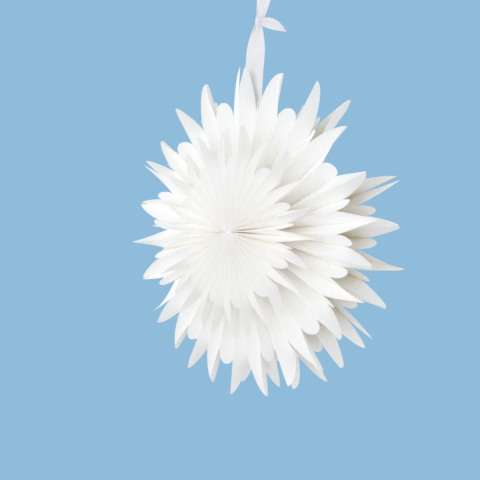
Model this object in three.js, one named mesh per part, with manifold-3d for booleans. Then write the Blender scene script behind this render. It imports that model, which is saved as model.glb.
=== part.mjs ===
// Paper snowflake ornament: three pleated paper rosettes glued in a stack and hung on a tied ribbon.
// Millimetres, +Z up. The rosettes share an axis along Y, and the front of the ornament faces -Y.
import * as THREE from "three";
import { mergeVertices } from "three/addons/utils/BufferGeometryUtils.js";
import Module from "manifold-3d";

// Paper and pleats, the same on every rosette
const PAPER = 0.25; // thickness of the sheet
const PETALS = 24; // long petals round a rosette, an even number: they sit on crests and valleys in turn
const PETAL_PANEL = 16.5; // width of a pleat panel that carries half of a long petal
const LOBE_PANEL = 16.5; // width of a pleat panel that carries one short lobe
const HUB_RADIUS = 5; // open middle left by the gathered folds
const SPREAD = 0.15; // pleats stand this share wider open on one side of the hanging ornament
const SPREAD_AT = 30; // degrees clockwise from the top where they are widest

// Cut edge, measured from the tip of a long petal towards the centre
const LOBE_BELOW_TIP = 27; // top of a short lobe
const NOTCH_BELOW_TIP = 38; // notch between petal and lobe
const PETAL_CLOSE = 0.64; // share of the angle between its halves that a long petal has lost at its tip
const SLIT = 12; // the fold of a long petal is slit open this far down from its tip
const SLIT_SHARE = 0.08; // half width of that slit, as a share of the panel

// Rosettes and their places along the axis
const SMALL_TIP_RADIUS = 95;
const LARGE_TIP_RADIUS = 145;
const GLUE_GAP = 0.3; // between one rosette's rear folds and the next one's front folds
const MIDDLE_LEAN = 3; // the middle rosette's petals lean this far backwards
const BACK_LEAN = 24; // and so do the back rosette's
const FRONT_TURN = 11.7; // degrees clockwise from the top to the first crest petal
const MIDDLE_TURN = 4.2;
const BACK_TURN = 20.7;

// Ribbon
const RIBBON_WIDTH = 22;
const RIBBON = 0.4; // thickness
const RIBBON_FOOT = 26; // height of its glued lower end above the axis
const KNOT_HEIGHT = 190; // above the axis
const KNOT_BACK = 5.5; // the knot lies this far behind the glued end
const KNOT_SIZE = new THREE.Vector3(5, 3.6, 6); // half sizes
const GATHER = 34; // length over which the ribbon narrows into the knot
const LOOP_HEIGHT = 38; // from the knot to the top of the hanging loop
const LOOP_BELLY = 9; // how far each leg of the loop's outline bows out
const LOOP_SHIFT = 6; // the loop's top lies this far to the right of the knot
const TAIL_LENGTH = 32;
const TAIL_DROP = 10;
const TAIL_WIDTH = 13;

const FOLDS = 3 * PETALS;
const STEP = (2 * Math.PI) / PETALS;
const PETAL_SHARE = PETAL_PANEL / (2 * PETAL_PANEL + LOBE_PANEL);
const LOBE_SHARE = 1 - 2 * PETAL_SHARE;
const HUB_DEPTH = Math.max(2 * PETAL_PANEL - LOBE_PANEL, LOBE_PANEL); // where the folds are gathered
const SPACING = HUB_DEPTH + GLUE_GAP;

const wasm = await Module();
wasm.setup();

const paper = () => new THREE.MeshStandardMaterial({ color: 0xf3efe8, roughness: 0.92, metalness: 0 });
const satin = () => new THREE.MeshStandardMaterial({ color: 0xf1f1f6, roughness: 0.45, metalness: 0 });

// Depth that a panel of a given width keeps when its two folds stand a chord apart.
function panelDepth(width, chord) {
  return Math.sqrt(Math.max(width * width - chord * chord, PAPER * PAPER));
}

// Fold number 0 is the tip of a crest petal. Every third fold is a tip, and crests and valleys take turns.
function foldAngle(fold, turn) {
  const share = [0, PETAL_SHARE, PETAL_SHARE + LOBE_SHARE][fold % 3];
  return (Math.floor(fold / 3) + share) * STEP + THREE.MathUtils.degToRad(turn);
}

// Front and rear point of the sheet on one fold, at one radius. Both lie straight in front of each other.
function foldPoint(fold, radius, rosette) {
  const even = foldAngle(fold, rosette.turn);
  const widest = THREE.MathUtils.degToRad(SPREAD_AT);
  const angle = even + SPREAD * Math.sin(even - widest);
  const opening = radius * STEP * (1 + SPREAD * Math.cos(even - widest));
  const petalDepth = panelDepth(PETAL_PANEL, opening * PETAL_SHARE);
  const lobeDepth = panelDepth(LOBE_PANEL, opening * LOBE_SHARE);
  const half = fold % 3 === 0 ? petalDepth - lobeDepth / 2 : lobeDepth / 2;
  const through = PAPER * Math.max(1, PETAL_PANEL / (opening * PETAL_SHARE));
  const lean = rosette.lean * (radius / rosette.tip) ** 2;
  const front = rosette.place - lean + (fold % 2 === 0 ? half : through - half);
  const at = (depth) => new THREE.Vector3(radius * Math.sin(angle), -depth, radius * Math.cos(angle));
  return { front: at(front), rear: at(front - through) };
}

// Front and rear point of the sheet on one panel, a share of the way from its first fold to its second.
// Past the notch nothing pulls the panels open, so petals and lobes run on straight and flat from there.
function sheetPoint(panel, share, radius, rosette) {
  const notch = rosette.tip - NOTCH_BELOW_TIP;
  const across = (at, where) => {
    const from = foldPoint(panel, at, rosette);
    const to = foldPoint((panel + 1) % FOLDS, at, rosette);
    return { front: from.front.lerp(to.front, where), rear: from.rear.lerp(to.rear, where) };
  };
  const point = across(Math.min(radius, notch), share);
  if (radius > notch) {
    const lead = (panel % 3) / 2; // a petal follows its own fold, a lobe follows its middle
    const root = across(notch, lead);
    const heading = root.front.clone().sub(across(notch - 1, lead).front);
    const axis = heading.clone().normalize();
    const inwards = panel % 3 === 1 ? 0 : panel % 2 === 0 ? 1 : -1;
    const chord = across(notch, 1).front.sub(across(notch, 0).front);
    const open = Math.asin(Math.min(1, Math.hypot(chord.x, chord.z) / PETAL_PANEL));
    const close = (inwards * open * PETAL_CLOSE * (radius - notch)) / NOTCH_BELOW_TIP;
    for (const side of ["front", "rear"]) {
      point[side].sub(root[side]).applyAxisAngle(axis, close).add(root[side]);
      point[side].addScaledVector(heading, radius - notch);
    }
  }
  return point;
}

// Cut edge of half a long petal, from its fold to the notch: [share of the panel, radius] pairs.
function petalEdge(rosette) {
  const notch = rosette.tip - NOTCH_BELOW_TIP;
  const edge = [[0, rosette.tip - SLIT]];
  for (const across of [0, 0.28, 0.5, 0.68, 0.82, 0.92, 0.98, 1]) {
    const up = (1 - across ** 1.8) ** 0.62;
    edge.push([SLIT_SHARE + across * (1 - SLIT_SHARE), notch + NOTCH_BELOW_TIP * up]);
  }
  return edge;
}

// Cut edge of a short round lobe, from notch to notch.
function lobeEdge(rosette) {
  const notch = rosette.tip - NOTCH_BELOW_TIP;
  const height = NOTCH_BELOW_TIP - LOBE_BELOW_TIP;
  return [-1, -0.95, -0.78, -0.45, 0, 0.45, 0.78, 0.95, 1].map((across) => [
    (across + 1) / 2,
    notch + height * Math.sqrt(1 - Math.abs(across) ** 2.2),
  ]);
}

// One pleated strip closed into a ring. Each panel has a front face, a rear face, a cut edge and a hub edge.
function rosetteGeometry(rosette) {
  const petal = petalEdge(rosette);
  const mirrored = petal.map(([share, radius]) => [1 - share, radius]).reverse();
  const edges = [petal, lobeEdge(rosette), mirrored];
  const notch = rosette.tip - NOTCH_BELOW_TIP;
  const rows = [1 / 3, 2 / 3].map((share) => THREE.MathUtils.lerp(HUB_RADIUS, notch, share));
  const corners = [];
  const face = (...points) => points.forEach((point) => corners.push(point.x, point.y, point.z));

  for (let panel = 0; panel < FOLDS; panel++) {
    const outline = [
      [0, HUB_RADIUS],
      [1, HUB_RADIUS],
      ...rows.map((radius) => [1, radius]),
      ...edges[panel % 3].slice().reverse(),
      ...rows.map((radius) => [0, radius]).reverse(),
    ];
    const sheet = outline.map(([share, radius]) => sheetPoint(panel, share, radius, rosette));
    const flat = outline.map(([share, radius]) => new THREE.Vector2(share * PETAL_PANEL, radius));
    for (const [a, b, c] of THREE.ShapeUtils.triangulateShape(flat, [])) {
      face(sheet[a].front, sheet[b].front, sheet[c].front);
      face(sheet[c].rear, sheet[b].rear, sheet[a].rear);
    }
    const firstCut = 1 + rows.length + 1;
    const cuts = [0];
    for (let i = firstCut; i < firstCut + edges[panel % 3].length - 1; i++) cuts.push(i);
    for (const i of cuts) {
      const [a, b] = [sheet[i], sheet[i + 1]];
      face(a.front, a.rear, b.rear);
      face(a.front, b.rear, b.front);
    }
  }
  const geometry = new THREE.BufferGeometry();
  geometry.setAttribute("position", new THREE.Float32BufferAttribute(corners, 3));
  const merged = mergeVertices(geometry, 1e-3);
  merged.computeVertexNormals();
  return merged;
}

// Closed geometry as a solid that can be joined, and back.
function solidOf(geometry) {
  const bare = geometry.clone();
  bare.deleteAttribute("normal");
  bare.deleteAttribute("uv");
  const merged = mergeVertices(bare, 1e-3);
  return new wasm.Manifold(
    new wasm.Mesh({
      numProp: 3,
      vertProperties: merged.attributes.position.array,
      triVerts: new Uint32Array(merged.index.array),
    }),
  );
}

function geometryOf(solid) {
  const mesh = solid.getMesh();
  const geometry = new THREE.BufferGeometry();
  geometry.setAttribute("position", new THREE.BufferAttribute(mesh.vertProperties, 3));
  geometry.setIndex(new THREE.BufferAttribute(mesh.triVerts, 1));
  geometry.computeVertexNormals();
  return geometry;
}

// A flat outline drawn in X and Z, given the ribbon's thickness about the plane Y = 0.
function ribbonPlate(shape) {
  const plate = new THREE.ExtrudeGeometry(shape, { depth: RIBBON, bevelEnabled: false, curveSegments: 6 });
  return plate.translate(0, 0, -RIBBON / 2).rotateX(Math.PI / 2);
}

// Lower stretch: a plain band from the glued end, narrowing into the knot.
function ribbonStrand() {
  const half = RIBBON_WIDTH / 2;
  const narrow = KNOT_SIZE.x * 0.6;
  const shoulder = KNOT_HEIGHT - GATHER;
  const shape = new THREE.Shape();
  shape.moveTo(-half, RIBBON_FOOT);
  shape.lineTo(half, RIBBON_FOOT);
  shape.lineTo(half, shoulder);
  shape.quadraticCurveTo(half, KNOT_HEIGHT - GATHER / 3, narrow, KNOT_HEIGHT);
  shape.lineTo(-narrow, KNOT_HEIGHT);
  shape.quadraticCurveTo(-half, KNOT_HEIGHT - GATHER / 3, -half, shoulder);
  return ribbonPlate(shape);
}

// Outline of the hanging loop seen from the side, a drop that starts and ends at the knot.
function loopOutline(belly, height) {
  const shape = new THREE.Shape();
  shape.moveTo(0, 0);
  shape.bezierCurveTo(belly, height / 3, belly, height, 0, height);
  shape.bezierCurveTo(-belly, height, -belly, height / 3, 0, 0);
  return shape;
}

// Hanging loop: the drop's outline, hollow, as wide as the ribbon at its top and narrow at the knot.
function ribbonLoop() {
  const shape = loopOutline(LOOP_BELLY, LOOP_HEIGHT);
  const inside = loopOutline(LOOP_BELLY - RIBBON * 1.5, LOOP_HEIGHT - 2 * RIBBON).getPoints(8);
  shape.holes.push(new THREE.Path(inside.map((point) => point.add(new THREE.Vector2(0, RIBBON)))));
  const across = { depth: RIBBON_WIDTH, bevelEnabled: false, curveSegments: 8 };
  const wide = new THREE.ExtrudeGeometry(shape, across);
  wide.translate(0, 0, -RIBBON_WIDTH / 2).rotateX(Math.PI / 2).rotateZ(Math.PI / 2);
  const narrow = KNOT_SIZE.x / RIBBON_WIDTH;
  const place = wide.attributes.position;
  for (let i = 0; i < place.count; i++) {
    const up = THREE.MathUtils.clamp(place.getZ(i) / LOOP_HEIGHT, 0, 1);
    const width = THREE.MathUtils.lerp(narrow, 1, THREE.MathUtils.smoothstep(up, 0, 0.8));
    place.setX(i, place.getX(i) * width + LOOP_SHIFT * up);
  }
  return wide.translate(0, 0, KNOT_HEIGHT);
}

// Short cut end that points to the right of the knot, with a slanting cut.
function ribbonTail() {
  const shape = new THREE.Shape();
  shape.moveTo(0, TAIL_WIDTH / 5);
  shape.quadraticCurveTo(TAIL_LENGTH / 2, TAIL_WIDTH / 4, TAIL_LENGTH * 0.8, -TAIL_WIDTH / 6);
  shape.lineTo(TAIL_LENGTH, -TAIL_DROP);
  shape.quadraticCurveTo(TAIL_LENGTH / 2, -TAIL_WIDTH * 0.8, 0, -TAIL_WIDTH / 5);
  return ribbonPlate(shape).translate(0, 0, KNOT_HEIGHT);
}

function ribbonGeometry() {
  const knot = new THREE.SphereGeometry(1, 14, 10).scale(KNOT_SIZE.x, KNOT_SIZE.y, KNOT_SIZE.z);
  knot.translate(0, 0, KNOT_HEIGHT);
  const pieces = [ribbonStrand(), ribbonLoop(), ribbonTail()];
  const upright = geometryOf(pieces.reduce((whole, piece) => whole.add(solidOf(piece)), solidOf(knot)));
  const lean = Math.atan2(KNOT_BACK, KNOT_HEIGHT - RIBBON_FOOT);
  return upright.translate(0, 0, -RIBBON_FOOT).rotateX(-lean).translate(0, 0, RIBBON_FOOT);
}

function piece(name, geometry, material) {
  const mesh = new THREE.Mesh(geometry, material);
  mesh.name = name;
  return mesh;
}

// Places count forwards from the middle rosette.
const ROSETTES = {
  front_rosette: { tip: SMALL_TIP_RADIUS, turn: FRONT_TURN, place: SPACING, lean: 0 },
  middle_rosette: { tip: LARGE_TIP_RADIUS, turn: MIDDLE_TURN, place: 0, lean: MIDDLE_LEAN },
  back_rosette: { tip: LARGE_TIP_RADIUS, turn: BACK_TURN, place: -SPACING, lean: BACK_LEAN },
};

const stack = new THREE.Group();
for (const [name, rosette] of Object.entries(ROSETTES)) {
  stack.add(piece(name, rosetteGeometry(rosette), paper()));
}

// The ribbon rises between the two large rosettes, halfway from one to the other at its glued end.
const footLean = (MIDDLE_LEAN + BACK_LEAN) * (RIBBON_FOOT / LARGE_TIP_RADIUS) ** 2;
const ribbon = piece("hanging_ribbon", ribbonGeometry(), satin());
ribbon.position.y = (SPACING + footLean) / 2;

// The origin is the middle of the box round the rosettes.
const middle = new THREE.Box3().setFromObject(stack).getCenter(new THREE.Vector3());
const ornament = new THREE.Group();
ornament.add(stack, ribbon);
ornament.position.copy(middle).negate();

const part = new THREE.Group();
part.add(ornament);
export default part;
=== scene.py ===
# %% [markdown]
# # A paper snowflake ornament on a satin ribbon
# The ornament is three rosettes of pleated white paper, glued one behind the other and hung on a tied
# ribbon. The measured solids come first, as a fixed frame. Everything made below stands where those
# solids stand, in metres, with +Z up and the front of the ornament facing -Y.

import math
import random

import bpy
import numpy as np
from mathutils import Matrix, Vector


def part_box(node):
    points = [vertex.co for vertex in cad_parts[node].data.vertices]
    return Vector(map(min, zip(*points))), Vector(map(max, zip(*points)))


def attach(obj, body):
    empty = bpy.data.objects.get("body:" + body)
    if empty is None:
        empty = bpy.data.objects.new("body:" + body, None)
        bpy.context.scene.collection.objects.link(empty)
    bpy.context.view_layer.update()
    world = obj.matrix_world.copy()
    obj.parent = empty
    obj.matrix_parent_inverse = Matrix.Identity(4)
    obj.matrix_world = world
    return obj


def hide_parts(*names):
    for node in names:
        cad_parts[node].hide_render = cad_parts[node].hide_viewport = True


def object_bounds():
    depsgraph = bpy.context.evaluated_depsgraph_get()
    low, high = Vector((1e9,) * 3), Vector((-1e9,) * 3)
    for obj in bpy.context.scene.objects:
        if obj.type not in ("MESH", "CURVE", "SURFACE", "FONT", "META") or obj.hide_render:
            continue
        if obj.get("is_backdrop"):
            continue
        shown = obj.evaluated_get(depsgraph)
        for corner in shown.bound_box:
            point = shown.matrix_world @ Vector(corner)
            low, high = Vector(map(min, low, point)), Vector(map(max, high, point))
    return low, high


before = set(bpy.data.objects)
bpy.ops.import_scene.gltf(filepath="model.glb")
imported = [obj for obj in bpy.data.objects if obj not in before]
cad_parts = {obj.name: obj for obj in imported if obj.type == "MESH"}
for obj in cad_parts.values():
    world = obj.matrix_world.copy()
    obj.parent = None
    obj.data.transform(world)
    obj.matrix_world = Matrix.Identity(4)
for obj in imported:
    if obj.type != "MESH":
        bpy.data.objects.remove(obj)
cad_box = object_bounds()
print("frame nodes:", sorted(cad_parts))
print("frame box:", [[round(float(c), 4) for c in corner] for corner in cad_box])

# %% [markdown]
# ## Camera
# The ornament is seen from the right of its face, level with its middle, from a little over a metre away.
# A long lens keeps the near petals only slightly larger than the far ones. The camera is added first,
# because the ribbon that leaves the picture at the top has to end just outside this view.

# %% Camera
MM = 0.001
VIEW_TURN = math.radians(42)
VIEW_DISTANCE = 1350 * MM
AIM_LEFT = 7.7 * MM
AIM_DOWN = 7.2 * MM
HUB_DEPTH = 16.5 * MM
MIDDLE_LEAN = 3 * MM
SENSOR_WIDTH = 36
LENS = 112.5
NEAREST_SEEN = 0.05

stack_middle = np.array([0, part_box("middle_rosette")[0][1] + HUB_DEPTH / 2, 0])
screen_right = np.array([math.cos(VIEW_TURN), math.sin(VIEW_TURN), 0])
towards_camera = np.array([math.sin(VIEW_TURN), -math.cos(VIEW_TURN), 0])
aim = stack_middle + np.array([0, MIDDLE_LEAN, -AIM_DOWN]) - AIM_LEFT * screen_right

bpy.ops.object.select_all(action="DESELECT")
bpy.ops.object.camera_add(
    location=aim + VIEW_DISTANCE * towards_camera,
    rotation=(math.pi / 2, 0, VIEW_TURN),
)
camera = bpy.context.object
camera.name = "camera"
camera.data.sensor_width = SENSOR_WIDTH
camera.data.lens = LENS
camera.data.clip_start = NEAREST_SEEN
bpy.context.scene.camera = camera
print("camera at", [round(c, 3) for c in camera.location], "lens", camera.data.lens)

# %% [markdown]
# ## Satin
# The ribbon is woven satin: a faintly pink white, duller than the paper, with a soft shine and fine
# threads across its width. Threads could be modelled, but at a third of a millimetre each a bump is
# enough. The strip carries its own flat map in metres, named "flat", so the threads follow the ribbon
# round every bend.


# %% Helpers for materials
def new_material(name):
    material = bpy.data.materials.new(name)
    material.use_nodes = True
    nodes = material.node_tree.nodes
    return material, nodes, material.node_tree.links, nodes["Principled BSDF"]


def ramp(nodes, stops):
    node = nodes.new("ShaderNodeValToRGB")
    node.color_ramp.elements[0].position, node.color_ramp.elements[0].color = stops[0]
    node.color_ramp.elements[1].position, node.color_ramp.elements[1].color = stops[-1]
    for position, color in stops[1:-1]:
        node.color_ramp.elements.new(position).color = color
    return node


print("materials so far:", len(bpy.data.materials))

# %% Satin colour
SATIN_DULL = (0.82, 0.798, 0.803, 1)
SATIN_BRIGHT = (0.89, 0.868, 0.868, 1)

satin, nodes, links, shader = new_material("white_satin")
shader.inputs["Roughness"].default_value = 0.42
shader.inputs["Sheen Weight"].default_value = 0.25
shader.inputs["Sheen Roughness"].default_value = 0.4
shader.inputs["Specular IOR Level"].default_value = 0.45
flat_map = nodes.new("ShaderNodeUVMap")
flat_map.uv_map = "flat"
streaks = nodes.new("ShaderNodeTexNoise")
streaks.inputs["Scale"].default_value = 90
streaks.inputs["Detail"].default_value = 4
links.new(flat_map.outputs["UV"], streaks.inputs["Vector"])
tint = ramp(nodes, [(0.3, SATIN_DULL), (0.7, SATIN_BRIGHT)])
links.new(streaks.outputs["Fac"], tint.inputs["Fac"])
links.new(tint.outputs["Color"], shader.inputs["Base Color"])
print("material:", satin.name)

# %% Satin weave
threads = nodes.new("ShaderNodeTexWave")
threads.wave_type = "BANDS"
threads.bands_direction = "Y"
threads.inputs["Scale"].default_value = 900
threads.inputs["Distortion"].default_value = 1.5
threads.inputs["Detail"].default_value = 2
links.new(flat_map.outputs["UV"], threads.inputs["Vector"])
weave = nodes.new("ShaderNodeBump")
weave.inputs["Strength"].default_value = 0.25
weave.inputs["Distance"].default_value = 0.00015
links.new(threads.outputs["Fac"], weave.inputs["Height"])
links.new(weave.outputs["Normal"], shader.inputs["Normal"])
print("weave on", satin.name, "with", len(nodes), "nodes")

# %% [markdown]
# ## Ribbon
# One length of ribbon starts between the two large rosettes, where it is glued, rises to a knot, makes
# the hanging loop and comes back to the knot. A strip like this could be a curve with a flat bevel, but
# it also narrows and creases as it runs into the knot. So a grid is added, one row for each step along
# the route, and its rows are laid along the route, each with its own width and folds. Solidify then gives
# it the thickness of cloth. The route is three curves in a row, smoothed where they meet: the rise, which
# drifts a little to the left on its way, and the two sides of the loop.

# %% Rise of the ribbon
RIBBON_FOOT = 26 * MM
KNOT_AT = np.array([2.3, 5.5, 190]) * MM
RISE_DRIFT = np.array([-5.8, 0, 0]) * MM
RISE_STEPS = 60


def bezier(a, b, c, d, count):
    t = np.linspace(0, 1, count)[:, None]
    return (1 - t) ** 3 * a + 3 * (1 - t) ** 2 * t * b + 3 * (1 - t) * t**2 * c + t**3 * d


foot = np.array([0, 0, RIBBON_FOOT])
third = (KNOT_AT - foot) / 3
rise = bezier(foot, foot + third + RISE_DRIFT, KNOT_AT - third + RISE_DRIFT, KNOT_AT, RISE_STEPS)
print("the rise drifts to", round(float(rise[:, 0].min()) / MM, 1), "mm")

# %% Loop and whole route
RIBBON_BEHIND = 8.83 * MM
LOOP_TOP = np.array([10.8, 6.6, 227.5]) * MM
LOOP_BELLY = 5 * MM
TOP_BELLY_SHARE = 1.8
END_BELLY_SHARE = 0.1
LOOP_SWING = np.array([5.5, 0, 13]) * MM
LOOP_STEPS = 30
SMOOTHINGS = 6

belly = -LOOP_BELLY * towards_camera
top_belly = TOP_BELLY_SHARE * belly
loop_end = KNOT_AT + belly * END_BELLY_SHARE
loop_out = bezier(KNOT_AT, KNOT_AT - belly + LOOP_SWING, LOOP_TOP - top_belly, LOOP_TOP, LOOP_STEPS)
loop_back = bezier(LOOP_TOP, LOOP_TOP + top_belly, KNOT_AT + belly + LOOP_SWING, loop_end, LOOP_STEPS)
to_ribbon = np.array([0, stack_middle[1] + RIBBON_BEHIND, 0])
route = np.vstack([rise, loop_out[1:], loop_back[1:]]) + to_ribbon
for _ in range(SMOOTHINGS):
    route[1:-1] = (route[:-2] + 2 * route[1:-1] + route[2:]) / 4
along = np.concatenate([[0], np.cumsum(np.linalg.norm(np.diff(route, axis=0), axis=1))])
knot_along = along[RISE_STEPS - 1]
print("ribbon length:", round(float(along[-1]), 4), "m, knot at", round(float(knot_along), 4), "m")


# %% Grid for the ribbon
def flat_grid(name, columns, rows):
    bpy.ops.object.select_all(action="DESELECT")
    bpy.ops.mesh.primitive_grid_add(
        x_subdivisions=columns, y_subdivisions=rows, size=1, location=(0.5, 0.5, 0)
    )
    grid = bpy.context.object
    grid.name = name
    bpy.ops.object.transform_apply(location=True, rotation=True, scale=True)
    return grid


def places(mesh):
    found = np.empty(len(mesh.vertices) * 3)
    mesh.vertices.foreach_get("co", found)
    return found.reshape(-1, 3)


def set_places(mesh, points):
    mesh.vertices.foreach_set("co", np.ascontiguousarray(points, dtype=np.float32).ravel())
    mesh.update()


RIBBON_COLUMNS = 14
ribbon = flat_grid("ribbon", RIBBON_COLUMNS, len(route) - 1)
print("ribbon grid:", len(ribbon.data.vertices), "points")

# %% Width of the ribbon
RIBBON_WIDTH = 22 * MM
GATHER_LENGTH = 27 * MM
GATHER_POWER = 1.6
GATHERED_SHARE = 0.74
LOOP_NARROWER = 0.25
LOOP_NARROWS_OVER = 8 * MM


def gathered(distance):
    near = np.minimum(np.abs(distance - knot_along), np.abs(along[-1] - distance))
    return np.clip(1 - near / GATHER_LENGTH, 0, 1) ** GATHER_POWER


pinch = gathered(along)
in_loop = np.clip((along - knot_along) / LOOP_NARROWS_OVER, 0, 1)
strip_width = RIBBON_WIDTH * (1 - GATHERED_SHARE * pinch) * (1 - LOOP_NARROWER * in_loop)
print("narrowest:", round(float(strip_width.min()) / MM, 1), "mm of", RIBBON_WIDTH / MM, "mm")


# %% Helpers for strips
def set_flat_map(mesh, flat_points):
    layer = mesh.uv_layers.new(name="flat")
    corner = np.empty(len(mesh.loops), dtype=int)
    mesh.loops.foreach_get("vertex_index", corner)
    layer.data.foreach_set("uv", flat_points[corner].astype(np.float32).ravel())


def unit_rows(vectors):
    return vectors / np.linalg.norm(vectors, axis=1)[:, None]


print("the ribbon starts towards", np.round(unit_rows(route[1:2] - route[0])[0], 2))

# %% Lay the ribbon
FLAT_CREASE = 0.2 * MM
GATHERED_CREASE = 1.3 * MM
BROAD_FOLDS = 15
BROAD_HEIGHT = 0.7
BROAD_DRIFT = 60
FINE_FOLDS = 27
FINE_HEIGHT = 0.4
FINE_START = 1.3


def lay_strip(strip, line, steps, width, crease):
    heading = unit_rows(np.gradient(line, axis=0))
    side = unit_rows(np.cross(np.cross(heading, [1.0, 0, 0]), heading))
    facing = np.cross(side, heading)
    flat = places(strip.data)
    row = np.rint(flat[:, 1] * (len(line) - 1)).astype(int)
    across = flat[:, 0] - 0.5
    broad = np.sin(across * BROAD_FOLDS + steps[row] * BROAD_DRIFT) * BROAD_HEIGHT
    fine = np.sin(across * FINE_FOLDS + FINE_START) * FINE_HEIGHT
    fold = crease[row] * (broad + fine)
    sideways = side[row] * (across * width[row])[:, None]
    set_places(strip.data, line[row] + sideways + facing[row] * fold[:, None])
    set_flat_map(strip.data, np.column_stack([across * RIBBON_WIDTH, steps[row]]))


crease_depth = FLAT_CREASE + GATHERED_CREASE * pinch
lay_strip(ribbon, route, along, strip_width, crease_depth)
print("deepest crease:", round(float(crease_depth.max()) / MM, 1), "mm")

# %% Thickness of the ribbon
RIBBON_THICKNESS = 0.3 * MM
CLOTH_SMOOTH = 50
ROUND_SMOOTH = 180


def apply_modifier(piece, kind, **settings):
    bpy.ops.object.select_all(action="DESELECT")
    bpy.context.view_layer.objects.active = piece
    piece.select_set(True)
    modifier = piece.modifiers.new(kind.lower(), kind)
    for setting, value in settings.items():
        setattr(modifier, setting, value)
    bpy.ops.object.modifier_apply(modifier=modifier.name)


def finish_piece(piece, material, smooth_degrees):
    bpy.ops.object.select_all(action="DESELECT")
    bpy.context.view_layer.objects.active = piece
    piece.select_set(True)
    bpy.ops.object.shade_smooth_by_angle(angle=math.radians(smooth_degrees))
    piece.data.materials.clear()
    piece.data.materials.append(material)
    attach(piece, "root")
    print(piece.name, "has", len(piece.data.polygons), "faces")


apply_modifier(ribbon, "SOLIDIFY", thickness=RIBBON_THICKNESS, offset=0)
finish_piece(ribbon, satin, CLOTH_SMOOTH)
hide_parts("hanging_ribbon")

# %% [markdown]
# ## Knot and cut end
# The knot is a turn of the same ribbon pulled tight, so it is a small rounded bundle with folds that run
# round it. It starts as a sphere, squeezed to size, and its points are then moved in and out along
# slanting folds. The cut end is a short strip that leaves the knot to the right, swells as it comes out
# of the fold and ends in a point, where the ribbon was cut at a slant. It is a grid again, laid along a
# curve of its own.

# %% Knot
KNOT_SIZE = np.array([3.5, 3.4, 5.2]) * MM
KNOT_FLAT_AROUND = 4 * MM
KNOT_FLAT_UP = 6 * MM
BROAD_TURNS = 7
BROAD_TURN_HEIGHT = 0.09
FINE_TURNS = 15
FINE_TURN_HEIGHT = 0.04

bpy.ops.object.select_all(action="DESELECT")
bpy.ops.mesh.primitive_uv_sphere_add(segments=48, ring_count=32, radius=1)
knot = bpy.context.object
knot.name = "ribbon_knot"
ball = places(knot.data)
around, up = np.arctan2(ball[:, 1], ball[:, 0]), ball[:, 2]
broad_turns = BROAD_TURN_HEIGHT * np.sin(up * BROAD_TURNS + around) * (1 - up**2)
fine_turns = FINE_TURN_HEIGHT * np.sin(up * FINE_TURNS - around)
folds = 1 + broad_turns + fine_turns
set_places(knot.data, ball * folds[:, None] * KNOT_SIZE + KNOT_AT + to_ribbon)
set_flat_map(knot.data, np.column_stack([around * KNOT_FLAT_AROUND, up * KNOT_FLAT_UP]))
finish_piece(knot, satin, ROUND_SMOOTH)

# %% Shape of the cut end
TAIL_ROWS = 27
TAIL_COLUMNS = 8
TAIL_LENGTH = 36 * MM
TAIL_ROUTE = np.array([[2, -1, -0.5], [10, -4, -0.8], [20, -4, -2.5], [33.5, -1, -12]]) * MM
TAIL_NECK = 3 * MM
NECK_TAPER = 0.8
NECK_TAPER_POWER = 6
TAIL_SWELL = 7.2 * MM
SWELL_SPAN = 0.78
SWELL_START = 0.02
SWELL_TAPER_POWER = 5

tail_line = bezier(*(KNOT_AT + to_ribbon + TAIL_ROUTE), TAIL_ROWS + 1)
tail_along = np.linspace(0, 1, TAIL_ROWS + 1)
neck = TAIL_NECK * (1 - NECK_TAPER * tail_along**NECK_TAPER_POWER)
swell_at = np.clip(tail_along * SWELL_SPAN + SWELL_START, 0, 1)
swell = TAIL_SWELL * np.sin(np.pi * swell_at) * (1 - tail_along**SWELL_TAPER_POWER)
tail_width = neck + swell
print("cut end: widest", round(float(tail_width.max()) / MM, 1), "mm")

# %% Cut end
TAIL_FACING = [0, -1.0, 0.25]
TAIL_RIPPLE = 1.1 * MM
RIPPLE_WAVES = 9
RIPPLE_START = 0.6
RIPPLE_FADES = 0.6

tail = flat_grid("ribbon_tail", TAIL_COLUMNS, TAIL_ROWS)
heading = unit_rows(np.gradient(tail_line, axis=0))
side = unit_rows(np.cross(heading, TAIL_FACING))
flat = places(tail.data)
row = np.rint(flat[:, 1] * TAIL_ROWS).astype(int)
across = flat[:, 0] - 0.5
wave = np.sin(across * RIPPLE_WAVES + RIPPLE_START)[:, None]
lift = (TAIL_RIPPLE * (1 - RIPPLE_FADES * tail_along[row]))[:, None]
ripple = wave * np.cross(side, heading)[row] * lift
set_places(tail.data, tail_line[row] + side[row] * (across * tail_width[row])[:, None] + ripple)
tail_steps = np.linspace(0, TAIL_LENGTH, TAIL_ROWS + 1)
set_flat_map(tail.data, np.column_stack([across * RIBBON_WIDTH, tail_steps[row]]))
apply_modifier(tail, "SOLIDIFY", thickness=RIBBON_THICKNESS, offset=0)
finish_piece(tail, satin, CLOTH_SMOOTH)

print("ribbon declared,", round(float(along[-1]), 3), "m")

# %% [markdown]
# ## Paper
# The rosettes are uncoated white paper with a warm tone. Its surface is almost flat, with fine fibres and a
# faint cloudiness where the sheet is denser. Crest folds get a painted highlight, a little lighter, and
# valley folds get painted shade, a little darker and warmer. Where the middle rosette covers the back one,
# the paper lies in a warm shade that bounced light alone leaves too pale, so painted shade darkens and
# warms it there. The places of folds and covered paper could be painted by a texture, but they are stored
# on the mesh, so that they follow every crease.

# %% Paper tone
PAPER_DENSE = (0.983, 0.97, 0.949, 1)
PAPER_LIGHT = (0.993, 0.985, 0.971, 1)
# The valley colour is painted shade in valley folds, the crest colour a painted highlight on crest folds.
VALLEY_PAINTED_SHADE = (0.89, 0.866, 0.828, 1)
CREST_PAINTED_HIGHLIGHT = (1.01, 1.01, 1.01, 1)
# Painted shade for the back rosette's paper where the middle rosette covers it.
COVERED_PAINTED_SHADE = (0.82, 0.77, 0.64, 1)
NO_CHANGE = (1, 1, 1, 1)

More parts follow.
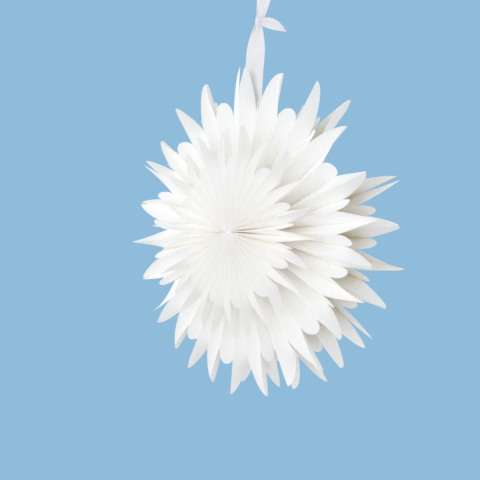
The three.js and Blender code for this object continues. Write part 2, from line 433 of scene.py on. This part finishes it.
paper, nodes, links, shader = new_material("warm_white_paper")
shader.inputs["Roughness"].default_value = 0.9
shader.inputs["Specular IOR Level"].default_value = 0.25
place = nodes.new("ShaderNodeTexCoord")
clouds = nodes.new("ShaderNodeTexNoise")
clouds.inputs["Scale"].default_value = 260
clouds.inputs["Detail"].default_value = 5
links.new(place.outputs["Object"], clouds.inputs["Vector"])
tone = ramp(nodes, [(0.32, PAPER_DENSE), (0.68, PAPER_LIGHT)])
links.new(clouds.outputs["Fac"], tone.inputs["Fac"])
print("material:", paper.name)


# %% Painted highlight and shade of the folds and painted shade of covered paper
def multiplied(nodes, links, first, second):
    product = nodes.new("ShaderNodeMix")
    product.data_type = "RGBA"
    product.blend_type = "MULTIPLY"
    product.inputs["Factor"].default_value = 1
    links.new(first, product.inputs["A"])
    links.new(second, product.inputs["B"])
    return product.outputs["Result"]


crease = nodes.new("ShaderNodeAttribute")
crease.attribute_name = "crease"
either_side = nodes.new("ShaderNodeMapRange")
either_side.inputs["From Min"].default_value = -1
links.new(crease.outputs["Fac"], either_side.inputs["Value"])
# Painted shade along valley folds and painted highlight along crest folds.
fold_light_and_shade = ramp(nodes, [(0, VALLEY_PAINTED_SHADE), (0.5, NO_CHANGE), (1, CREST_PAINTED_HIGHLIGHT)])
links.new(either_side.outputs["Result"], fold_light_and_shade.inputs["Fac"])
paper_with_fold_light = multiplied(nodes, links, tone.outputs["Color"], fold_light_and_shade.outputs["Color"])
covered = nodes.new("ShaderNodeAttribute")
covered.attribute_name = "covered"
# Painted shade where the middle rosette covers the back one.
covered_shade_ramp = ramp(nodes, [(0, NO_CHANGE), (1, COVERED_PAINTED_SHADE)])
links.new(covered.outputs["Fac"], covered_shade_ramp.inputs["Fac"])
shaded = multiplied(nodes, links, paper_with_fold_light, covered_shade_ramp.outputs["Color"])
links.new(shaded, shader.inputs["Base Color"])
print("stored on the mesh:", crease.attribute_name, "and", covered.attribute_name)

# %% Paper grain
fibres = nodes.new("ShaderNodeTexNoise")
fibres.inputs["Scale"].default_value = 2600
fibres.inputs["Detail"].default_value = 6
fibres.inputs["Roughness"].default_value = 0.65
links.new(place.outputs["Object"], fibres.inputs["Vector"])
grain = nodes.new("ShaderNodeBump")
grain.inputs["Strength"].default_value = 0.3
grain.inputs["Distance"].default_value = 0.0001
links.new(fibres.outputs["Fac"], grain.inputs["Height"])
links.new(grain.outputs["Normal"], shader.inputs["Normal"])
print("grain on", paper.name, "with", len(nodes), "nodes")

# %% [markdown]
# ## How a rosette is folded
# Each rosette is one paper strip, folded to and fro. Three panels repeat round it: half of a long petal,
# a short round lobe, and half of the next petal. A petal therefore lies across a fold, and because crests
# and valleys take turns, every second petal stands on a crest and the ones between stand in a valley.
# Paper doesn't stretch, so a panel keeps its width: where its two folds stand further apart, the pleat
# gets shallower.

# %% Sizes of the pleats
PETALS = 24
FOLDS = 3 * PETALS
PETAL_PANEL = 16.5 * MM
LOBE_PANEL = 16.5 * MM
PETAL_SHARE = PETAL_PANEL / (2 * PETAL_PANEL + LOBE_PANEL)
LEAST_DEPTH = 2 * MM
PAPER_THICKNESS = 0.25 * MM
FOLD_ROUND = 0.2 * MM
LOBE_BELOW_TIP = 27 * MM
NOTCH_BELOW_TIP = 38 * MM
SMALL_TIP = 95 * MM
LARGE_TIP = 145 * MM
SMALL_HUB = 3.3 * MM
LARGE_HUB = 5.6 * MM
BACK_LEAN = 24 * MM
SPACING = stack_middle[1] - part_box("front_rosette")[0][1] - HUB_DEPTH / 2
print("spacing of the rosettes:", round(float(SPACING) / MM, 2), "mm")

# %% [markdown]
# ## Where the folds point
# The small rosette's petals are spread by one smooth rule, closer together on one side. The petals of the
# large ones were pulled about by hand when they were glued, so each has its own direction, in degrees
# clockwise from the top. A few folds beside a petal are nudged as well.

# %% Directions of the petals
FRONT_TURN = 11.7
SPREAD = 0.15
SPREAD_AT = math.radians(30)
MIDDLE_TIPS = np.radians(
    [-3.1, 15.2, 32.6, 51, 70, 86, 102, 115.5, 130.5, 146, 159.4, 172.6]
    + [185.8, 199, 209.5, 221.3, 235.5, 252.5, 266.5, 281.5, 297.4, 307.7, 322.8, 338.4]
)
MIDDLE_NUDGES = {4: 1, 5: 1, 29: -1, 31: 2.5, 47: -1, 49: 4, 59: -2, 70: -2, 71: -2.5}
BACK_TIPS = np.radians(
    [20.7, 37.4, 57, 71.8, 88.1, 102.8, 117.2, 132, 146.2, 157.5, 169.3, 179.2]
    + [195, 211, 225.5, 239.5, 254, 267.9, 282.2, 297.1, 312.7, 328.7, 345.3, 362.2]
)
BACK_NUDGES = {2: 1.5, 10: 1, 20: -1.5}


def even_tips(first):
    even = np.arange(PETALS) * math.tau / PETALS + math.radians(first)
    return even + SPREAD * np.sin(even - SPREAD_AT)


print("first small petals:", np.round(np.degrees(even_tips(FRONT_TURN)[:4]), 1))


# %% Angles of the folds
def fold_angles(tips, nudges):
    gaps = np.diff(np.append(tips, tips[0] + math.tau))
    angles = np.empty(FOLDS)
    angles[0::3] = tips
    angles[1::3] = tips + PETAL_SHARE * gaps
    angles[2::3] = tips + (1 - PETAL_SHARE) * gaps
    opening = np.repeat(gaps, 3)
    opening[0::3] = (gaps + np.roll(gaps, 1)) / 2
    for fold, degrees in nudges.items():
        angles[fold] += math.radians(degrees)
    return angles, opening


print("first folds:", np.round(np.degrees(fold_angles(MIDDLE_TIPS, {})[0][:6]), 1))


# %% Points on the folds
def panel_depth(width, chord):
    return np.sqrt(np.maximum(width**2 - chord**2, LEAST_DEPTH**2))


def fold_points(fold, radius, rosette):
    angles, opening = rosette["folds"]
    turn = fold % FOLDS
    cell = radius * opening[turn]
    petal_depth = panel_depth(PETAL_PANEL, cell * PETAL_SHARE)
    lobe_depth = panel_depth(LOBE_PANEL, cell * (1 - 2 * PETAL_SHARE))
    half = petal_depth - lobe_depth / 2 if fold % 3 == 0 else lobe_depth / 2
    forward = half if fold % 2 == 0 else -half
    lean = rosette["leans"][turn] * (radius / rosette["tip"]) ** 2
    y = rosette["y"] + lean - forward
    reach = radius * rosette["draws"][turn]
    return np.column_stack([reach * np.sin(angles[turn]), y, reach * np.cos(angles[turn])])


widest_cell = SMALL_TIP * math.tau / PETALS
print("pleat depth at a small tip:", round(panel_depth(PETAL_PANEL, widest_cell * PETAL_SHARE) / MM, 1), "mm")

# %% Cut edge
PETAL_ROUND = 0.62
LOBE_ROUND = 2.2
BLUNT = 1.8


def petal_edge(across, rosette, length, blunt):
    return rosette["notch"] + length * (1 - across**blunt) ** PETAL_ROUND


def lobe_edge(across, rosette, length):
    return rosette["notch"] + length * np.sqrt(1 - np.abs(2 * across - 1) ** LOBE_ROUND)


mid_petal = NOTCH_BELOW_TIP * (1 - 0.5**BLUNT) ** PETAL_ROUND
print("cut edge above the notch, mid petal:", round(mid_petal / MM, 1), "mm")

# %% [markdown]
# ## One panel of paper
# A flat grid stands for one panel: its columns run from fold to fold and its rows from the hub to the cut
# edge. The rows below the notch belong to the pleats. The rows above it are the free petal or lobe, which
# runs on straight and flat, with a little curl of its own. A petal could be extruded and bent by hand,
# but every one of them meets its neighbours along two folds, so its points are worked out from those
# folds. The panel is made once and copied for all seventy-two places.

# %% Blank panel
COLUMN_AT = np.array([0, 0.03, 0.11, 0.23, 0.36, 0.5, 0.64, 0.77, 0.89, 0.97, 1.0])
LAST_COLUMN = len(COLUMN_AT) - 1
PLEAT_ROWS = 14
FREE_ROWS = 12

blank = flat_grid("blank_panel", LAST_COLUMN, PLEAT_ROWS + FREE_ROWS)
blank_flat = places(blank.data)
blank_column = np.rint(blank_flat[:, 0] * LAST_COLUMN).astype(int)
blank_row = np.rint(blank_flat[:, 1] * (PLEAT_ROWS + FREE_ROWS)).astype(int)
ACROSS = COLUMN_AT[blank_column]
PLEAT_UP = np.clip(blank_row / PLEAT_ROWS, 0, 1)
FREE_UP = np.clip((blank_row - PLEAT_ROWS) / FREE_ROWS, 0, 1)
# Fold marks, read by the paper's painted highlight and painted shade at the folds.
blank.data.attributes.new("crease", "FLOAT", "POINT")
print("blank panel:", len(blank.data.polygons), "faces")

# %% Round the folds
WIDEST_RIDGE = 0.25


def rounded_folds(share, start, end):
    chord = np.hypot(end[:, 0] - start[:, 0], end[:, 2] - start[:, 2])
    ridge = np.minimum(WIDEST_RIDGE, FOLD_ROUND / chord)
    first = COLUMN_AT[1]
    inner = (blank_column > 0) & (blank_column < LAST_COLUMN)
    sideways = np.where(inner, ridge + (share - first) / (1 - 2 * first) * (1 - 2 * ridge), share)
    beside_first, beside_last = blank_column == 1, blank_column == LAST_COLUMN - 1
    depth = share - 0.5 * first * beside_first + 0.5 * first * beside_last
    return np.column_stack([sideways, depth, sideways])


print("a fold is rounded over", 2 * FOLD_ROUND / MM, "mm")

# %% [markdown]
# ## The free end of a panel
# Above the notch, a petal runs on in the direction that its fold has there. Its halves then close
# towards each other round that fold, and the tip bends forwards or backwards and to one side, more and
# more towards its end. A Simple Deform modifier could bend a panel, but each half turns about a fold of
# its own, so the points are turned in code. The paper between two folds is also bowed a little, most of
# all at the cut edge, because a folded sheet is never quite flat.


# %% Direction of the free end
def free_end(panel, rosette):
    notch = np.array([rosette["notch"]])
    lead = (panel % 3) / 2
    ends = [fold_points(panel, notch, rosette)[0], fold_points(panel + 1, notch, rosette)[0]]
    before = [fold_points(panel, notch - MM, rosette)[0], fold_points(panel + 1, notch - MM, rosette)[0]]
    root = ends[0] * (1 - lead) + ends[1] * lead
    heading = (root - before[0] * (1 - lead) - before[1] * lead) / MM
    return root, heading, ends[1] - ends[0]


print("free length of a petal:", NOTCH_BELOW_TIP / MM, "mm")

# %% Bow and close a panel
BOW_POWER = 1.5
NO_LENGTH = 1e-9


def bowed(points, width, share, reach, heading, bow):
    outward = np.cross(width, heading)
    outward /= np.maximum(np.linalg.norm(outward, axis=1), NO_LENGTH)[:, None]
    return points + outward * (bow * np.sin(np.pi * share) * reach**BOW_POWER)[:, None]


def turned(offsets, axis, angles):
    axis = axis / np.linalg.norm(axis)
    cosine, sine = np.cos(angles)[:, None], np.sin(angles)[:, None]
    along_axis = (offsets @ axis)[:, None] * axis
    return offsets * cosine + np.cross(axis, offsets) * sine + along_axis * (1 - cosine)


def closed(points, root, heading, chord, angle_share, bent):
    stands_open = math.asin(min(1, math.hypot(chord[0], chord[2]) / PETAL_PANEL))
    closer = root + turned(points - root, heading, angle_share * stands_open * bent)
    return np.where(bent[:, None] > 0, closer, points)


quarter = turned(np.array([[1.0, 0, 0]]), np.array([0, 0, 1.0]), np.array([math.pi / 2]))
print("a quarter turn takes +X to", np.round(quarter[0]))


# %% Cut one panel
def cut_panel(kind, rosette, curl):
    notch, hub = rosette["notch"], rosette["hub"]
    across = 1 - ACROSS if kind == 2 else ACROSS
    if kind == 1:
        edge = lobe_edge(across, rosette, curl["length"])
    else:
        edge = petal_edge(across, rosette, curl["length"], curl["blunt"])
    radius = np.where(FREE_UP > 0, notch + (edge - notch) * FREE_UP, hub + (notch - hub) * PLEAT_UP)
    if kind != 1:
        above_slit = radius - (notch + curl["length"] - curl["slit"])
        opened = curl["gap"] * np.clip(above_slit / curl["slit"], 0, 1)
        across = opened + across * (1 - opened)
    return radius, 1 - across if kind == 2 else across


print("rows of a panel:", PLEAT_ROWS, "in the pleats and", FREE_ROWS, "above the notch")


# %% Fold one panel
def panel_points(panel, rosette, curl):
    kind, notch = panel % 3, rosette["notch"]
    radius, share = cut_panel(kind, rosette, curl)
    held = np.minimum(radius, notch)
    start, end = fold_points(panel, held, rosette), fold_points(panel + 1, held, rosette)
    points = start + (end - start) * rounded_folds(share, start, end)
    root, heading, chord = free_end(panel, rosette)
    reach = np.clip(radius / rosette["tip"], 0, 1)
    points = bowed(points, end - start, share, reach, heading, curl["bow"])
    free = np.maximum(radius - notch, 0)
    bent = free / NOTCH_BELOW_TIP
    if kind != 1:
        towards = 1 if panel % 2 == 0 else -1
        points = closed(points, root, heading, chord, towards * curl["close"], bent)
    points = points + heading * free[:, None]
    sideways = chord / np.linalg.norm(chord)
    return points + (bent**2)[:, None] * (np.array([0, curl["back"], 0]) + sideways * curl["side"])


print("panels to fold:", FOLDS, "for each rosette")

# %% [markdown]
# ## Small accidents
# No two petals are alike. Each draws its own curl from a seeded list of chances, so that every run folds
# the same ornament: how far its tip is slit and how wide the slit gapes, how far it bends back and
# sideways, its length and how far its halves close. The bluntness of the cut and any other of these can
# be set for a single petal or panel.

# %% Curl of each petal
SLIT = 12 * MM
SLIT_SHARE = 0.08


def petal_curl(chance):
    return {
        "slit": SLIT * chance.uniform(0.6, 1.4),
        "gap": SLIT_SHARE * chance.uniform(0.6, 1.5),
        "back": chance.uniform(-1.5, 1.5) * MM,
        "side": chance.uniform(-1.2, 1.2) * MM,
        "length": NOTCH_BELOW_TIP * chance.uniform(0.97, 1.03),
        "blunt": BLUNT,
    }


print("a petal's slit:", round(petal_curl(random.Random(3))["slit"] / MM, 1), "mm")

# %% Curl of each panel
PETAL_CLOSE = 0.64


def curls_of(seed, special):
    chance = random.Random(seed)
    petals = [petal_curl(chance) for _ in range(PETALS)]
    curls = []
    for panel in range(FOLDS):
        curl = dict(petals[((panel + 1) // 3) % PETALS])
        curl["close"] = PETAL_CLOSE * chance.uniform(0.75, 1.2)
        curl["bow"] = chance.uniform(-0.5, 0.9) * MM
        if panel % 3 == 1:
            lobe = (NOTCH_BELOW_TIP - LOBE_BELOW_TIP) * chance.uniform(0.94, 1.06)
            curl.update(back=chance.uniform(-2, 2) * MM, side=0.0, length=lobe)
        curl.update(special.get(panel, {}))
        curls.append(curl)
    return curls


print("panels with a curl:", len(curls_of(3, {})))

# %% Mark the creases
BESIDE_CREASE = 0.3


def mark_creases(mesh, panel):
    # +1 marks a crest fold for its painted highlight, -1 a valley fold for its painted shade.
    first = 1 if panel % 2 == 0 else -1
    at_start = (blank_column == 0) + BESIDE_CREASE * (blank_column == 1)
    at_end = (blank_column == LAST_COLUMN) + BESIDE_CREASE * (blank_column == LAST_COLUMN - 1)
    line = first * at_start - first * at_end
    mesh.attributes["crease"].data.foreach_set("value", line.astype(np.float32))


mark_creases(blank.data, 0)
print("marked points on a panel:", sum(point.value != 0 for point in blank.data.attributes["crease"].data))


# %% Fold a whole rosette
def fold_rosette(name, tips, nudges, tip, hub, y, leans, draws, seed, special):
    rosette = {"folds": fold_angles(tips, nudges), "tip": tip, "notch": tip - NOTCH_BELOW_TIP}
    rosette.update(hub=hub, y=y, leans=leans, draws=draws)
    curls = curls_of(seed, special)
    panels = []
    for panel in range(FOLDS):
        copy = blank.copy()
        copy.data = blank.data.copy()
        bpy.context.collection.objects.link(copy)
        set_places(copy.data, panel_points(panel, rosette, curls[panel]))
        mark_creases(copy.data, panel)
        panels.append(copy)
    bpy.ops.object.select_all(action="DESELECT")
    for copy in panels:
        copy.select_set(True)
    bpy.context.view_layer.objects.active = panels[0]
    bpy.ops.object.join()
    panels[0].name = name
    return panels[0]


print("faces before gluing:", FOLDS * len(blank.data.polygons), "for each rosette")

# %% Glue the folds and mark covered paper for painted shade
MERGE_WITHIN = 0.00002
THINNEST_FACE = 0.00001


def glue_folds(rosette):
    bpy.ops.object.mode_set(mode="EDIT")
    bpy.ops.mesh.select_all(action="SELECT")
    bpy.ops.mesh.remove_doubles(threshold=MERGE_WITHIN)
    bpy.ops.mesh.dissolve_degenerate(threshold=THINNEST_FACE)
    bpy.ops.object.mode_set(mode="OBJECT")
    apply_modifier(rosette, "SOLIDIFY", thickness=PAPER_THICKNESS, offset=0)


def paint_covered_shade(rosette, inner, outer):
    points = places(rosette.data)
    normals = np.empty(points.size)
    rosette.data.vertices.foreach_get("normal", normals)
    radius = np.hypot(points[:, 0], points[:, 2])
    # Painted shade: full within the inner radius, none beyond the outer one, on faces towards the front.
    painted_shade = np.clip((outer - radius) / (outer - inner), 0, 1) * (normals[1::3] < 0)
    shade_layer = rosette.data.attributes.new("covered", "FLOAT", "POINT")
    shade_layer.data.foreach_set("value", painted_shade.astype(np.float32))


print("paper:", PAPER_THICKNESS / MM, "mm thick")

# %% [markdown]
# ## Petals that differ
# Petals are counted clockwise from the top. Petal N lies on panels 3N - 1 and 3N, and panel 3N + 1 is the
# lobe after it. The ornament was cut and bent by hand: some petals are longer or shorter than the rest,
# some are hardly slit, and a few are slit to the notch with their halves spread apart. A few panels
# differ from their other half.


# %% Helpers for single petals
def petal(number, **changes):
    return {3 * number: dict(changes), (3 * number - 1) % FOLDS: dict(changes)}


def parted(number, spread, **changes):
    halves = petal(number, **changes)
    halves[3 * number]["side"] = spread
    halves[(3 * number - 1) % FOLDS]["side"] = -spread
    return halves


print("petal 1 lies on panels", sorted(petal(1)))

# %% Petals of the middle rosette
middle_special = {
    **petal(0, slit=18 * MM, gap=0.18, close=0.35, length=42 * MM),
    **petal(1, close=0.3, blunt=2.6, slit=4 * MM, gap=0.02, side=0),
    **petal(2, length=45.5 * MM, back=5 * MM, side=-3.5 * MM, slit=2 * MM, gap=0, close=0.45),
    **petal(3, length=35.5 * MM, blunt=2.6, slit=4 * MM, gap=0.02, side=0),
    **petal(4, length=36 * MM),
    **petal(7, length=33 * MM),
    **petal(8, length=35 * MM),
    **petal(10, slit=3 * MM, gap=0.02, side=0),
    **petal(11, length=41 * MM, slit=3 * MM, gap=0.02, side=0),
    **petal(12, length=40 * MM, slit=3 * MM, gap=0.02, side=0),
    **parted(16, 7 * MM, slit=38 * MM, gap=0.08, close=0.3),
    **parted(20, 3 * MM, slit=24 * MM, gap=0.06, close=0.35),
    **petal(21, length=36 * MM, close=0.85),
    **petal(23, length=41 * MM),
    4: {"length": 12.5 * MM},
    10: {"length": 7 * MM},
    37: {"length": 16 * MM},
    43: {"length": 15 * MM},
    49: {"length": 14 * MM},
    70: {"length": 15 * MM},
}
middle_special[71].update(side=0.5 * MM, slit=36 * MM, gap=0, close=0)
middle_special[5].update(length=22 * MM, side=0)
middle_special[48].update(length=41 * MM, gap=0.35)
middle_special[29].update(close=-0.6)
middle_special[30].update(close=0.9)
print("middle rosette:", len(middle_special), "panels of their own")

# %% Petals of the back rosette
back_special = {
    **petal(0, length=14 * MM),
    **petal(1, side=-1 * MM),
    **petal(2, length=2 * MM, slit=1 * MM),
    **petal(3, slit=40 * MM, gap=0.24, close=0.15, length=40 * MM),
    **parted(7, 7 * MM, slit=34 * MM, gap=0.08, close=0.3, length=39 * MM),
    **petal(10, slit=3 * MM, gap=0.02, close=0.3, blunt=2.4, side=0),
    **petal(11, length=35 * MM),
    **petal(22, length=30 * MM),
    4: {"length": 1 * MM},
    7: {"length": 1 * MM},
    10: {"back": 8 * MM, "length": 13 * MM},
    13: {"back": 8 * MM, "length": 13 * MM},
    16: {"back": 4 * MM, "length": 13 * MM},
    25: {"length": 14 * MM},
    70: {"length": 3 * MM},
}
back_special[20].update(close=-0.1)
print("back rosette:", len(back_special), "panels of their own")

# %% [markdown]
# ## Three rosettes
# The small rosette comes first, then the two large ones behind it. The back one leans away from the
# middle one, except at its upper right, where its folds are bent forwards and drawn in, so that they stay
# hidden.

# %% Lean and reach of the folds
BENT_FORWARD = slice(4, 9)

middle_y = stack_middle[1]
back_leans = np.full(FOLDS, BACK_LEAN)
back_leans[BENT_FORWARD] = np.array([4, -10, -16, -12, 4]) * MM
full_reach = np.ones(FOLDS)
back_draws = np.ones(FOLDS)
back_draws[BENT_FORWARD] = [0.97, 0.94, 0.93, 0.94, 0.97]
print("back rosette's least reach:", back_draws.min())

# %% Fold the three rosettes
# Radii of the painted shade on the back rosette.
SHADE_FULL_WITHIN = 82 * MM
SHADE_GONE_BEYOND = 116 * MM
PAPER_SMOOTH = 35
ROSETTES = {
    "front_rosette": dict(
        tips=even_tips(FRONT_TURN), nudges={}, tip=SMALL_TIP, hub=SMALL_HUB, y=middle_y - SPACING,
        leans=np.zeros(FOLDS), draws=full_reach, seed=3, special={},
    ),
    "middle_rosette": dict(
        tips=MIDDLE_TIPS, nudges=MIDDLE_NUDGES, tip=LARGE_TIP, hub=LARGE_HUB, y=middle_y,
        leans=np.full(FOLDS, MIDDLE_LEAN), draws=full_reach, seed=5, special=middle_special,
    ),
    "back_rosette": dict(
        tips=BACK_TIPS, nudges=BACK_NUDGES, tip=LARGE_TIP, hub=LARGE_HUB, y=middle_y + SPACING,
        leans=back_leans, draws=back_draws, seed=8, special=back_special,
    ),
}
for node, sizes in ROSETTES.items():
    rosette = fold_rosette("paper_" + node, **sizes)
    glue_folds(rosette)
    if node == "back_rosette":
        # The back rosette gets painted shade where the middle one covers it.
        paint_covered_shade(rosette, SHADE_FULL_WITHIN, SHADE_GONE_BEYOND)
    finish_piece(rosette, paper, PAPER_SMOOTH)
    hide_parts(node)
bpy.data.objects.remove(blank, do_unlink=True)

# %% [markdown]
# ## Glue at the hubs
# The gathered folds leave a small opening at the middle of the front rosette and another at the middle of
# the back one. On the real ornament they are closed by the glue that holds the folds together. A sphere
# is pressed flat and its surface is pushed into soft lumps, like a dab that has set between the folds.

# %% Glue material
GLUE_DULL = (0.88, 0.86, 0.83, 1)
GLUE_BRIGHT = (0.94, 0.92, 0.89, 1)

glue, nodes, links, shader = new_material("dried_white_glue")
shader.inputs["Roughness"].default_value = 0.5
spot = nodes.new("ShaderNodeTexCoord")
cloudy = nodes.new("ShaderNodeTexNoise")
cloudy.inputs["Scale"].default_value = 700
links.new(spot.outputs["Object"], cloudy.inputs["Vector"])
glue_tone = ramp(nodes, [(0.35, GLUE_DULL), (0.65, GLUE_BRIGHT)])
links.new(cloudy.outputs["Fac"], glue_tone.inputs["Fac"])
links.new(glue_tone.outputs["Color"], shader.inputs["Base Color"])
print("material:", glue.name)

# %% Glue dabs
FRONT_DAB = 3.4 * MM
BACK_DAB = 5.8 * MM
DAB_HALF_DEPTH = 1.1 * MM
DAB_INSIDE = 1.8 * MM
DAB_FROM_MIDDLE = HUB_DEPTH / 2 - DAB_INSIDE
RIM_LUMPS = ((0.05, 3, 0.4), (0.03, 7, 0))
FACE_LUMP = 0.05
FACE_WAVES = np.array([5, 0, 2])


def glue_dab(name, y, radius):
    bpy.ops.object.select_all(action="DESELECT")
    bpy.ops.mesh.primitive_uv_sphere_add(segments=36, ring_count=18, radius=1)
    dab = bpy.context.object
    dab.name = name
    ball = places(dab.data)
    turn = np.arctan2(ball[:, 0], ball[:, 2])
    lumps = 1 + FACE_LUMP * np.sin(ball @ FACE_WAVES)
    for height, waves, start in RIM_LUMPS:
        lumps += height * np.sin(waves * turn + start)
    dab_size = np.array([radius, DAB_HALF_DEPTH, radius])
    set_places(dab.data, ball * lumps[:, None] * dab_size + np.array([0, y, 0]))
    finish_piece(dab, glue, ROUND_SMOOTH)


glue_dab("front_hub_glue", middle_y - SPACING - DAB_FROM_MIDDLE, FRONT_DAB)
glue_dab("back_hub_glue", middle_y + SPACING + DAB_FROM_MIDDLE, BACK_DAB)

# %% [markdown]
# ## Light and background
# The ornament hangs in front of a plain pale blue. The world shows that blue to the camera, and to rays
# that mirror or pass through something, and lights the paper with a soft white sky, so that the blue
# doesn't tint it. A large cool lamp stands in front, a little to the left and above, like daylight from a
# window. A weak warm lamp fills the right side and another fills the back. A round floor lies far below.

# %% World
SKY_COLOR = (0.93, 0.963, 1.0, 1)
SKY_STRENGTH = 0.8

world = bpy.data.worlds.new("pale_blue_room")
bpy.context.scene.world = world
world.use_nodes = True
nodes, links = world.node_tree.nodes, world.node_tree.links
sky = nodes["Background"]
sky.inputs["Color"].default_value = SKY_COLOR
sky.inputs["Strength"].default_value = SKY_STRENGTH
print("world:", world.name)

# %% Background
PALE_BLUE = (0.275, 0.503, 0.701, 1)


def seen_ray(nodes, links, rays):
    mirrored = nodes.new("ShaderNodeMath")
    mirrored.operation = "MAXIMUM"
    links.new(rays.outputs["Is Glossy Ray"], mirrored.inputs[0])
    links.new(rays.outputs["Is Transmission Ray"], mirrored.inputs[1])
    any_seen = nodes.new("ShaderNodeMath")
    any_seen.operation = "MAXIMUM"
    links.new(rays.outputs["Is Camera Ray"], any_seen.inputs[0])
    links.new(mirrored.outputs["Value"], any_seen.inputs[1])
    return any_seen.outputs["Value"]


blue = nodes.new("ShaderNodeBackground")
blue.inputs["Color"].default_value = PALE_BLUE
blue.inputs["Strength"].default_value = 1.0
rays = nodes.new("ShaderNodeLightPath")
choose = nodes.new("ShaderNodeMixShader")
links.new(seen_ray(nodes, links, rays), choose.inputs["Fac"])
links.new(sky.outputs["Background"], choose.inputs[1])
links.new(blue.outputs["Background"], choose.inputs[2])
links.new(choose.outputs["Shader"], nodes["World Output"].inputs["Surface"])
print("background:", PALE_BLUE[:3])

# %% Lamps
LAMP_DISTANCE = 1.8
LAMP_SIZE = 1.5
COOL_WHITE = (0.955, 0.976, 1.0)
WARM_WHITE = (1.0, 0.93, 0.82)
PLAIN_WHITE = (1.0, 1.0, 1.0)


def lamp(name, turn, rise, power, color):
    turn, rise = math.radians(turn), math.radians(rise)
    level = math.cos(rise)
    direction = np.array([math.sin(turn) * level, -math.cos(turn) * level, math.sin(rise)])
    bpy.ops.object.light_add(
        type="AREA",
        location=direction * LAMP_DISTANCE,
        rotation=(math.pi / 2 - rise, 0, turn),
    )
    light = bpy.context.object
    light.name = name
    light.data.shape = "DISK"
    light.data.size = LAMP_SIZE
    light.data.energy = power
    light.data.color = color


lamp("window_light", turn=-19, rise=10, power=9.3, color=COOL_WHITE)
lamp("side_fill", turn=75, rise=6, power=1.7, color=WARM_WHITE)
lamp("back_fill", turn=195, rise=12, power=2.5, color=PLAIN_WHITE)

# %% Floor
FLOOR_RADIUS = 1.6
FLOOR_HEIGHT = -0.75
FLOOR_LIT = (0.8, 0.8, 0.8, 1)
FLOOR_SEEN = (0.42, 0.62, 0.79, 1)

bpy.ops.object.select_all(action="DESELECT")
bpy.ops.mesh.primitive_circle_add(
    vertices=96, radius=FLOOR_RADIUS, fill_type="NGON", location=(0, 0, FLOOR_HEIGHT)
)
floor = bpy.context.object
floor.name = "floor"
pale, nodes, links, shader = new_material("pale_blue_floor")
shader.inputs["Roughness"].default_value = 0.9
rays = nodes.new("ShaderNodeLightPath")
floor_color = nodes.new("ShaderNodeMix")
floor_color.data_type = "RGBA"
floor_color.inputs["A"].default_value = FLOOR_LIT
floor_color.inputs["B"].default_value = FLOOR_SEEN
links.new(seen_ray(nodes, links, rays), floor_color.inputs["Factor"])
links.new(floor_color.outputs["Result"], shader.inputs["Base Color"])
floor.data.materials.append(pale)
floor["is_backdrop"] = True
print("floor at", round(floor.location.z, 2), "m")

# %% [markdown]
# ## View and sizes
# Colours are shown as they are, with the Standard view. White folds are lit mostly by each other, so
# light may bounce forty times; with fewer bounces the depths of the rosettes turn grey. Last, the box of
# the solids and the box of what was made are written down side by side.

# %% View and sizes
LIGHT_BOUNCES = 40

bpy.context.scene.view_settings.view_transform = "Standard"
bpy.context.scene.cycles.diffuse_bounces = LIGHT_BOUNCES
bpy.context.scene.cycles.max_bounces = LIGHT_BOUNCES
visual_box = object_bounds()
sizes = {"cad": cad_box, "visual": visual_box}
for name, box in sizes.items():
    print(name, [[round(float(c), 4) for c in corner] for corner in box])
